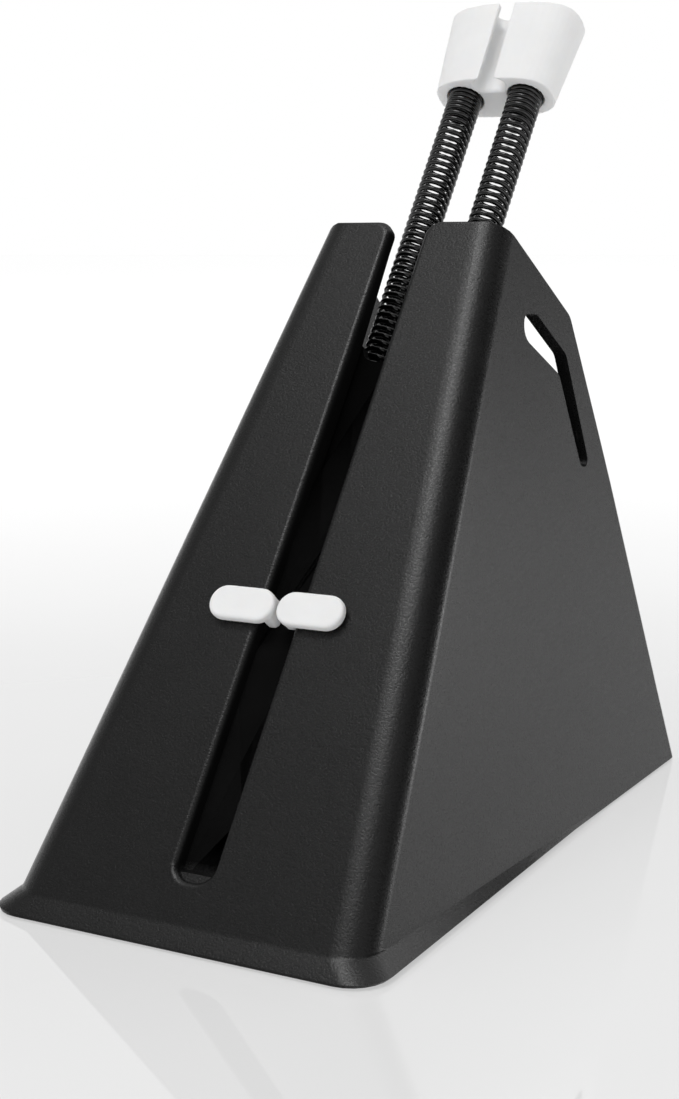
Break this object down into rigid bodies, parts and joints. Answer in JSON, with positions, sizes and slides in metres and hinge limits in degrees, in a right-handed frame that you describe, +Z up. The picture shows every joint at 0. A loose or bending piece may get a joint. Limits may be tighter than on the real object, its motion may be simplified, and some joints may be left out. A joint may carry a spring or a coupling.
{
  "type": "mouse cable holder",
  "caption": "Leaning hollow pyramid cable holder with a slotted front, a sliding carriage and two coil springs that carry a slotted cable clip.",
  "frame": {"origin": "middle of the footprint, on the underside of the rubber mat that the holder stands on", "axes": "+Z up, +X to the right, the slotted sloping face looks towards -Y; the arm leans back towards +Y"},
  "size_m": [0.0644, 0.12, 0.1341],
  "materials": {
    "grained_black_plastic": "fine moulded grain, satin",
    "plain_black_plastic": "smooth matt",
    "white_rubber": "smooth matt white",
    "black_rubber": "matt",
    "black_spring_steel": "blackened, oiled",
    "bright_steel": "ground",
    "zinc_steel": "zinc plated",
    "brass": "turned",
    "nylon": "natural"
  },
  "bodies": {
    "housing": {"housing_shell": "grained_black_plastic", "rear_cover": "grained_black_plastic", "floor_plate": "plain_black_plastic", "grip_mat": "black_rubber", "floor_screw_front_right": "zinc_steel", "floor_screw_front_left": "zinc_steel", "floor_screw_rear_right": "zinc_steel", "floor_screw_rear_left": "zinc_steel", "ballast_block": "zinc_steel", "ballast_screw_1": "zinc_steel", "ballast_screw_2": "zinc_steel", "rear_screw_lower_right": "zinc_steel", "rear_screw_upper_right": "zinc_steel", "rear_screw_lower_left": "zinc_steel", "rear_screw_upper_left": "zinc_steel", "channel_plate": "plain_black_plastic", "channel_screw_1": "zinc_steel", "channel_screw_2": "zinc_steel", "channel_screw_3": "zinc_steel", "channel_screw_4": "zinc_steel", "upper_rod_bracket": "plain_black_plastic", "lower_rod_holder_right": "plain_black_plastic", "lower_rod_holder_left": "plain_black_plastic", "guide_rod_right": "bright_steel", "guide_rod_left": "bright_steel"},
    "carriage": {"carriage_block": "plain_black_plastic", "pad_yoke": "plain_black_plastic", "grip_pad_right": "white_rubber", "grip_pad_left": "white_rubber", "friction_shoe_right": "nylon", "friction_shoe_left": "nylon", "clamp_plate": "zinc_steel", "clamp_screw_right": "zinc_steel", "clamp_screw_left": "zinc_steel", "spring_core_right": "black_spring_steel", "spring_core_left": "black_spring_steel", "spring_collar_right": "brass", "spring_collar_left": "brass"},
    "spring_arm": {"coil_spring_right": "black_spring_steel", "coil_spring_left": "black_spring_steel"},
    "clip": {"cable_clip": "white_rubber", "spring_plug_right": "nylon", "spring_plug_left": "nylon"}
  },
  "joints": [
    {"name": "arm_height", "type": "slide", "parent": "housing", "child": "carriage", "axis": [0, 0.6018, 0.7986], "range_m": [-0.02, 0.02]},
    {"name": "arm_nod", "type": "hinge", "parent": "carriage", "child": "spring_arm", "pos_m": [0, 0.01932, 0.08144], "axis": [1, 0, 0], "range_deg": [-35, 15], "stiffness_Nm_per_rad": 0.12, "deforming": ["coil_spring_right", "coil_spring_left"]},
    {"name": "arm_sway", "type": "hinge", "parent": "spring_arm", "child": "clip", "pos_m": [0, 0.03678, 0.1046], "axis": [0, -0.7986, 0.6018], "range_deg": [-20, 20], "stiffness_Nm_per_rad": 0.12}
  ]
}
